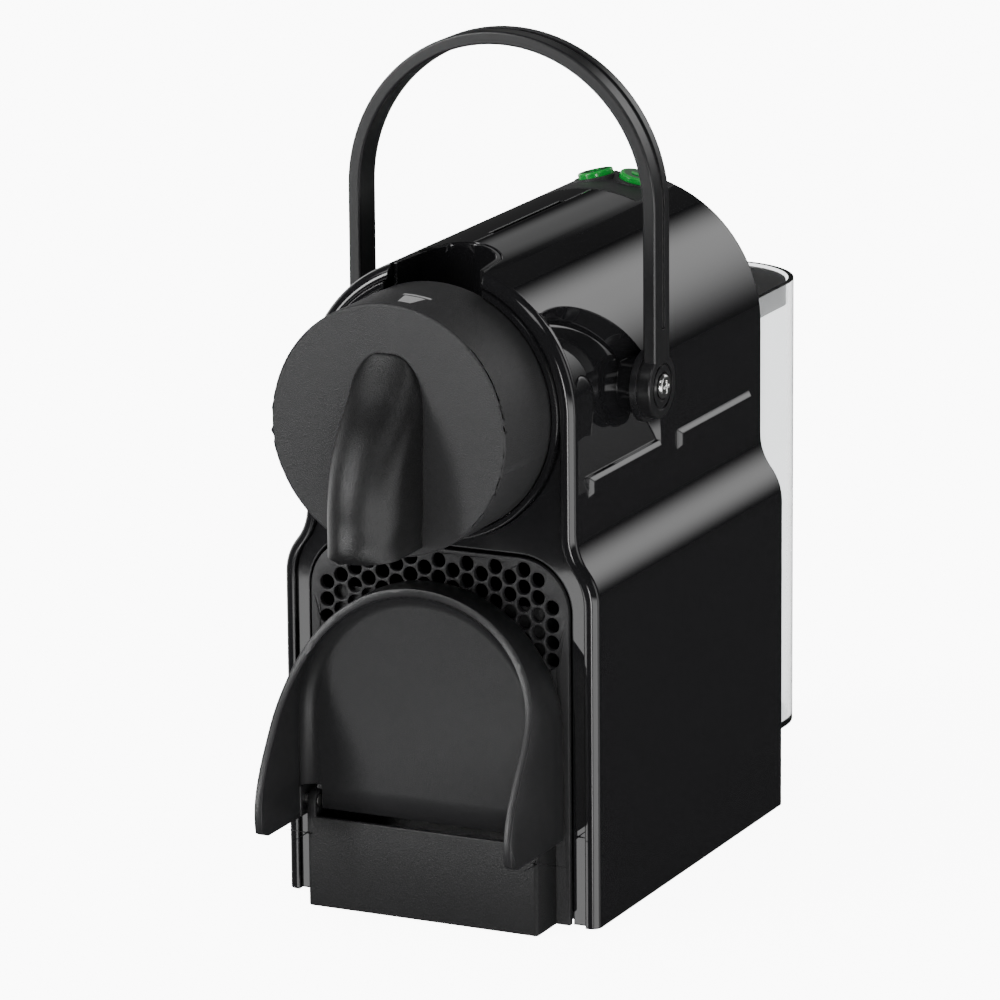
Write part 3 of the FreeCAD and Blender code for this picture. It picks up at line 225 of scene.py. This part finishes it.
head_grain = grained_plastic("head_grained_black", (0.0125, 0.0125, 0.013), 0.48, 0.00055, 0.00011)
spout_grain = grained_plastic("spout_satin_black", (0.004, 0.004, 0.0042), 0.3, 0.0005, 0.0001, 0.06)
tray_grain = grained_plastic("tray_grained_black", (0.0045, 0.0045, 0.0048), 0.5, 0.0007, 0.00010)
# The grille panel has the tray's grain in a lighter colour: painted light that makes up for the shade the
# head casts over the recessed panel.
grille_grain_painted_lighter = grained_plastic("grille_grained_black_painted_lighter", (0.016, 0.016, 0.0165), 0.5, 0.0007, 0.00010)
support_satin = grained_plastic("support_satin_black", (0.007, 0.007, 0.0075), 0.36, 0.00035, 0.00003)
frame_black = grained_plastic("frame_moulded_black", (0.016, 0.016, 0.017), 0.55, 0.0009, 0.00006)
paint(head_grain, "head_shell", "extraction_plate")
paint(spout_grain, "outlet_cover", "outlet_duct")
# The grille takes the lighter grain, painted light against the head's shade.
paint(grille_grain_painted_lighter, "grille_panel")
paint(tray_grain, "drip_tray", "capsule_bin", "waste_tray")
paint(support_satin, "cup_support", "drip_grid")
paint(frame_black, "rear_cover", "base_plate", "brew_frame", "pump_coil", "pump_cradle",
      "tank_valve_seat", "tank_valve", "capsule_cage", "slot_shutter", "key_switches")


# ---------------------------------------------------------------- eased edges of the front parts
# The tools' edges are broken by hand, so every rim of the cup support, tray, grille and
# head catches a thin line of light. Each piece is the CAD part with its edges rounded.
def eased(name, body, finish, width):
    """A copy of the named CAD part with its sharp edges rounded by width metres."""
    sharp = radians(34)
    bpy.ops.object.select_all(action="DESELECT")
    part = nodes[name]
    part.select_set(True)
    bpy.context.view_layer.objects.active = part
    bpy.ops.object.duplicate()
    piece = bpy.context.object
    piece.name = name + "_eased"
    bpy.ops.object.mode_set(mode="EDIT")
    bpy.ops.mesh.select_all(action="SELECT")
    bpy.ops.mesh.remove_doubles(threshold=0.000002)
    bpy.ops.object.mode_set(mode="OBJECT")
    rounding = piece.modifiers.new("broken_edges", "BEVEL")
    rounding.width = width
    rounding.segments = 2
    rounding.limit_method = "ANGLE"
    rounding.angle_limit = sharp
    rounding.use_clamp_overlap = False
    bpy.ops.object.modifier_apply(modifier=rounding.name)
    bpy.ops.object.shade_smooth_by_angle(angle=radians(32))
    # The copy is a new piece, so it drops the marks that make the original a CAD node.
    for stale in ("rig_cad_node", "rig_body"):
        if stale in piece:
            del piece[stale]
    piece.parent = None
    piece.matrix_world = Matrix.Identity(4)
    piece.data.materials.clear()
    piece.data.materials.append(finish.material)
    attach(piece, body)
    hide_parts(name)


eased("cup_support", "support", support_satin, 0.0004)
eased("drip_tray", "front_unit", tray_grain, 0.0005)
# The eased grille keeps the lighter grain, painted light against the shade of the head.
eased("grille_panel", "front_unit", grille_grain_painted_lighter, 0.0003)
eased("head_shell", "root", head_grain, 0.0002)


# ---------------------------------------------------------------- capsule mark on the head
# A small pale print on top of the head shows which way up the capsule drops in: its cup
# and its rim, as plain shapes, wrapped on the curved drum.
def printed_patch(name, wide, deep, centre, narrow):
    """A thin patch above the head, narrowed towards the front and laid on the drum."""
    bpy.ops.object.select_all(action="DESELECT")
    bpy.ops.mesh.primitive_grid_add(x_subdivisions=14, y_subdivisions=14, size=1, location=centre)
    patch = bpy.context.object
    patch.name = name
    patch.scale = (wide, deep, 1)
    for corner in patch.data.vertices:
        corner.co.x *= 1 - narrow * (0.5 - corner.co.y)
    bpy.ops.object.transform_apply(location=True, rotation=True, scale=True)
    lay = patch.modifiers.new("lay_on_drum", "SHRINKWRAP")
    lay.target = nodes["head_shell"]
    lay.wrap_method = "PROJECT"
    lay.use_project_z = True
    lay.use_negative_direction = True
    lay.use_positive_direction = False
    lay.offset = 0.00006
    bpy.ops.object.modifier_apply(modifier=lay.name)
    thick = patch.modifiers.new("ink", "SOLIDIFY")
    thick.thickness = 0.00005
    thick.offset = 1
    bpy.ops.object.modifier_apply(modifier=thick.name)
    return patch


head_low, head_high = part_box("head_shell")
mark_centre = Vector((0.0042, head_low.y + 0.0095, head_high.z + 0.003))
cup_mark = printed_patch("capsule_mark_cup", 0.0078, 0.0085, mark_centre, 0.42)
rim_mark = printed_patch("capsule_mark_rim", 0.0104, 0.0016, mark_centre + Vector((0, 0.006, 0)), 0)
pale_ink = grained_plastic("pale_grey_ink", (0.19, 0.19, 0.19), 0.55, 0.0005, 0.00002)
for mark in (cup_mark, rim_mark):
    mark.data.materials.append(pale_ink.material)
    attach(mark, "root")


# ---------------------------------------------------------------- control panel
# A matte strip let into the top of the body, with raised glossy collars round two keys.
panel_grain = grained_plastic("panel_matte_black", (0.012, 0.012, 0.0125), 0.5, 0.0004, 0.00004)
paint(panel_grain, "control_panel")


# ---------------------------------------------------------------- brew keys
# Translucent green caps lit from below, each with a raised cup on its tilted top: a small
# one for the short coffee and a larger one for the long coffee.
def key_green(name, colour, glow, strength):
    """Tinted polycarbonate with light from a diode beneath it, a little weaker in patches."""
    finish = Finish(name, colour, 0.22, IOR=1.58, Coat_Weight=0.3, Coat_Roughness=0.1)
    cloud = finish.noise(0.003, 2.0, 4.0)
    finish.give("Roughness", 0.2 + cloud * 0.1)
    finish.give("Emission Color", finish.mix(cloud, (*glow, 1), tuple(0.8 * g for g in glow) + (1,)))
    finish.give("Emission Strength", strength)
    finish.bump(finish.noise(0.0006, 2.0), 0.00001)
    return finish


key_cap = key_green("key_cap_green", (0.0, 0.16, 0.02), (0.0, 0.2, 0.015), 0.4)
key_top = key_green("key_top_green", (0.0, 0.035, 0.006), (0.0, 0.05, 0.006), 0.35)
paint(key_cap, "espresso_button", "lungo_button")
paint(key_top, "espresso_button_inlay", "lungo_button_inlay")


def cup_icon(body, inlay, side, wide):
    """A raised cup with its ear, wide metres from its middle to its rim, on a key's top."""
    lowest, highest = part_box(inlay)
    thick = 0.0002
    lean = radians(13 * side)
    up = Vector((math.sin(lean), 0, math.cos(lean)))
    centre = (lowest + highest) / 2 + up * 0.00035
    bpy.ops.object.select_all(action="DESELECT")
    bpy.ops.mesh.primitive_circle_add(vertices=40, radius=wide, fill_type="NGON")
    cup = bpy.context.object
    bpy.ops.object.mode_set(mode="EDIT")
    bpy.ops.mesh.select_all(action="SELECT")
    bpy.ops.mesh.bisect(plane_co=(0, 0.1 * wide, 0), plane_no=(0, 1, 0), clear_outer=True, use_fill=False)
    bpy.ops.mesh.select_all(action="SELECT")
    bpy.ops.mesh.extrude_region_move(TRANSFORM_OT_translate={"value": (0, 0, thick)})
    bpy.ops.mesh.select_all(action="SELECT")
    bpy.ops.mesh.normals_make_consistent(inside=False)
    bpy.ops.object.mode_set(mode="OBJECT")
    bpy.ops.mesh.primitive_torus_add(location=(1.05 * wide, -0.25 * wide, thick / 2), major_segments=24,
                                     minor_segments=8, major_radius=0.4 * wide,
                                     minor_radius=0.1 * wide)
    cup.select_set(True)
    bpy.context.view_layer.objects.active = cup
    bpy.ops.object.join()
    cup.name = body + "_cup_icon"
    cup.rotation_euler = (0, lean, 0)
    cup.location = centre
    bpy.ops.object.transform_apply(location=True, rotation=True, scale=True)
    cup.data.materials.append(key_cap.material)
    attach(cup, body)


cup_icon("espresso_key", "espresso_button_inlay", -1, 0.0017)
cup_icon("lungo_key", "lungo_button_inlay", 1, 0.0024)


# ---------------------------------------------------------------- bail lever
# One half-gloss bail over the machine: two flat straps and a round arch in one moulding.
# A stepped disc and a domed cross-head screw fix each end to its shaft.
def lever_black(name, rough):
    """Half-gloss black moulding, dulled where it is handled and scuffed."""
    finish = Finish(name, (0.009, 0.009, 0.0095), rough, IOR=1.5)
    handled = finish.noise(0.018, 3.0, 2.0)
    scuff = finish.noise(0.0012, 3.0, 9.0).smooth(0.6, 0.75)
    finish.give("Roughness", rough + handled * 0.1 + scuff * 0.1)
    finish.give("Base Color", finish.mix(scuff * 0.4, (0.008, 0.008, 0.0085, 1), (0.02, 0.02, 0.021, 1)))
    finish.bump(finish.noise(0.0008, 2.0), 0.000015)
    return finish


bail_black = lever_black("bail_half_gloss_black", 0.26)
disc_black = lever_black("disc_half_gloss_black", 0.24)
paint(bail_black, "bail_handle")
paint(disc_black, "lever_discs")


# ---------------------------------------------------------------- metal parts
# Turned and punched steel, die-cast aluminium and the bright screws.
def metal(name, colour, rough, grain):
    """Bare metal with streaks grain metres wide and duller stained places."""
    finish = Finish(name, colour, rough, Metallic=1.0)
    streaks = finish.noise(grain, 4.0, 6.0)
    stain = finish.noise(0.012, 3.0, 8.0)
    finish.give("Roughness", rough + (streaks - 0.5) * 0.25 + stain * 0.08)
    dull = tuple(0.75 * part for part in colour)
    finish.give("Base Color", finish.mix(stain.smooth(0.45, 0.75), (*colour, 1), (*dull, 1)))
    finish.bump(streaks, 0.00002)
    return finish


bright_steel = metal("screw_bright_steel", (0.82, 0.82, 0.81), 0.16, 0.0003)
punched_steel = metal("punched_steel", (0.55, 0.55, 0.54), 0.35, 0.0008)
cast_aluminium = metal("cast_aluminium", (0.6, 0.61, 0.62), 0.5, 0.0012)
paint(bright_steel, "lever_screws")
paint(punched_steel, "left_crank", "right_crank", "hinge_pins", "piercing_blades", "thermostat",
      "chassis")
paint(cast_aluminium, "pump_body", "thermoblock")


# ---------------------------------------------------------------- rubber and silicone parts
# Feet, seals, mounts and the cord gland are black nitrile; the hoses are milky silicone.
def rubber(name, colour, rough):
    """Soft matte material with a paler bloom in patches."""
    finish = Finish(name, colour, rough, IOR=1.45)
    bloom = finish.noise(0.004, 3.0, 2.5)
    finish.give("Roughness", rough + (bloom - 0.5) * 0.2)
    pale = tuple(1.6 * part for part in colour)
    finish.give("Base Color", finish.mix(bloom.smooth(0.45, 0.8) * 0.5, (*colour, 1), (*pale, 1)))
    finish.bump(finish.noise(0.0004, 2.0), 0.00003)
    return finish


black_rubber = rubber("black_nitrile", (0.016, 0.016, 0.016), 0.72)
milky_silicone = rubber("milky_silicone", (0.55, 0.55, 0.53), 0.4)
board_green = rubber("solder_mask_green", (0.01, 0.09, 0.03), 0.35)
paint(black_rubber, "rubber_feet", "pump_mounts", "valve_seal", "cage_seal", "cord_gland")
paint(milky_silicone, "inlet_hose", "pressure_hose")
paint(board_green, "control_board")


# ---------------------------------------------------------------- water tank and its lid
# A clear moulded tank behind the body; the dark flat lid drops in and turns up at its front.
def clear_tank():
    """Clear plastic with a little haze and the slight waves of a moulded wall."""
    finish = Finish("clear_tank_plastic", (0.93, 0.945, 0.95), 0.04, IOR=1.49,
                    Transmission_Weight=1.0)
    haze = finish.noise(0.01, 3.0, 3.0)
    finish.give("Roughness", 0.03 + haze * 0.05)
    finish.bump(finish.noise(0.008, 1.0), 0.00002)
    return finish


tank_clear = clear_tank()
lid_satin = grained_plastic("lid_satin_black", (0.012, 0.012, 0.0125), 0.38, 0.0004, 0.00003)
paint(tank_clear, "water_tank")
paint(lid_satin, "tank_lid")


# ---------------------------------------------------------------- table, lights and camera
# A plain pale table top under even light. Long soft boxes stand round the machine, each
# where the polished black mirrors it. The camera itself never sees them.
middle = Vector((0, 0, 0.15))


def aimed(azimuth, elevation, reach):
    """The point reach metres from the machine's middle; azimuth 0 is straight in front."""
    level = reach * math.cos(radians(elevation))
    turn = radians(azimuth)
    return middle + Vector((level * math.sin(turn), -level * math.cos(turn),
                            reach * math.sin(radians(elevation))))


def soft_box(name, azimuth, elevation, wide, tall, bright, fade=(0.0, 0.0), side=0.0):
    """A glowing panel of the given degrees of view; fade dims its bottom and its top edge,
    and side the edge of the greater azimuth."""
    reach = 6.0
    size = (2 * reach * math.tan(radians(wide / 2)), 2 * reach * math.tan(radians(tall / 2)))
    bpy.ops.object.select_all(action="DESELECT")
    bpy.ops.mesh.primitive_plane_add(size=1)
    panel = bpy.context.object
    panel.name = name
    panel.scale = (size[0], size[1], 1)
    panel.location = aimed(azimuth, elevation, reach)
    panel.rotation_euler = (panel.location - middle).to_track_quat("Z", "Y").to_euler()
    panel.visible_camera = False
    panel.visible_shadow = False
    glow = Finish(name + "_cloth", (0, 0, 0), 1.0, Emission_Strength=bright)
    across = glow.node("ShaderNodeSeparateXYZ", {}, glow.place, output="X") + 0.5
    height = glow.node("ShaderNodeSeparateXYZ", {}, glow.place, output="Y") + 0.5
    light = height.smooth(0.0, max(fade[0], 0.001)) * (1 - height.smooth(1 - max(fade[1], 0.001), 1.0))
    light = light * (1 - across.smooth(1 - max(side, 0.001), 1.0))
    glow.give("Emission Color", glow.mix(light, (0, 0, 0, 1), (1, 1, 1, 1)))
    panel.data.materials.append(glow.material)


foot_level = cad_box[0][2]
bpy.ops.object.select_all(action="DESELECT")
bpy.ops.mesh.primitive_plane_add(size=30, location=(0, 0, foot_level))
table = bpy.context.object
table.name = "table_top"
table_white = Finish("table_white", (0.86, 0.86, 0.86), 0.6, Emission_Strength=1.5)
looked_at = table_white.node("ShaderNodeLightPath", {}, output="Is Camera Ray")
table_white.give("Emission Color", table_white.mix(looked_at, (1, 1, 1, 1), (6, 6, 6, 1)))
table_white.give("Base Color", table_white.mix(table_white.noise(0.3, 3.0), (0.86, 0.86, 0.86, 1),
                                               (0.84, 0.84, 0.845, 1)))
table.data.materials.append(table_white.material)
table.visible_glossy = False
table.visible_shadow = False

sun_lamp = bpy.data.lights.new("even_light", "SUN")
sun_lamp.energy = 3.8
sun_lamp.angle = radians(60)
sun = bpy.data.objects.new("even_light", sun_lamp)
bpy.context.scene.collection.objects.link(sun)
sun.rotation_euler = (radians(18), radians(-14), 0)
sun.visible_glossy = False

# The room is bright to the camera and nearly dark to everything else.
room = bpy.data.worlds.new("studio")
studio = Tree(room)
dim = studio.node("ShaderNodeBackground", {}, (0.04, 0.04, 0.04, 1))
bright = studio.node("ShaderNodeBackground", {}, (9, 9, 9, 1))
looked_at = studio.node("ShaderNodeLightPath", {}, output="Is Camera Ray")
studio.feed(studio.nodes["World Output"].inputs["Surface"],
            studio.node("ShaderNodeMixShader", {}, looked_at, dim, bright))
bpy.context.scene.world = room

soft_box("rear_box", 162, 14, 29, 40, 2.3, fade=(0.65, 0.0), side=0.45)
soft_box("rear_left_box", -160, 21, 20, 14, 0.38, fade=(0.4, 0.3))
soft_box("key_box", -42, 34, 26, 30, 3.5, fade=(0.3, 0.2))
soft_box("key_strip", -35, 14, 8, 58, 20.0, fade=(0.3, 0.15))
soft_box("front_strip", 29, -6, 7, 36, 14.0, fade=(0.3, 0.3))
soft_box("left_box", -105, 0, 20, 50, 1.4, fade=(0.3, 0.3))
soft_box("right_low_box", 70, -14, 54, 30, 3.8, fade=(0.3, 0.3))
soft_box("right_high_box", 50, 45, 26, 18, 4.0, fade=(0.3, 0.3))
soft_box("front_low_box", -25.5, -18.2, 10, 6, 4.0)
soft_box("side_box", 112, 2, 22, 60, 1.6, fade=(0.3, 0.3))
soft_box("back_box", -130, 5, 24, 60, 1.6, fade=(0.3, 0.3))

# The camera stands to the front right, nearly two metres away, and looks down a little.
round_right, down, roll = radians(25.541), radians(14.479), radians(-0.478)
front_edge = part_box("left_shell")[0].y
camera_data = bpy.data.cameras.new("camera")
camera_data.lens = 238.44
camera_data.sensor_width = 36
camera_data.clip_end = 50
camera = bpy.data.objects.new("camera", camera_data)
bpy.context.scene.collection.objects.link(camera)
upright = radians(90)
turn = Matrix.Rotation(round_right, 3, "Z") @ Matrix.Rotation(upright - down, 3, "X")
camera.rotation_euler = (turn @ Matrix.Rotation(roll, 3, "Z")).to_euler()
camera.location = (0.96306, front_edge - 1.9653, 0.71192)
bpy.context.scene.camera = camera
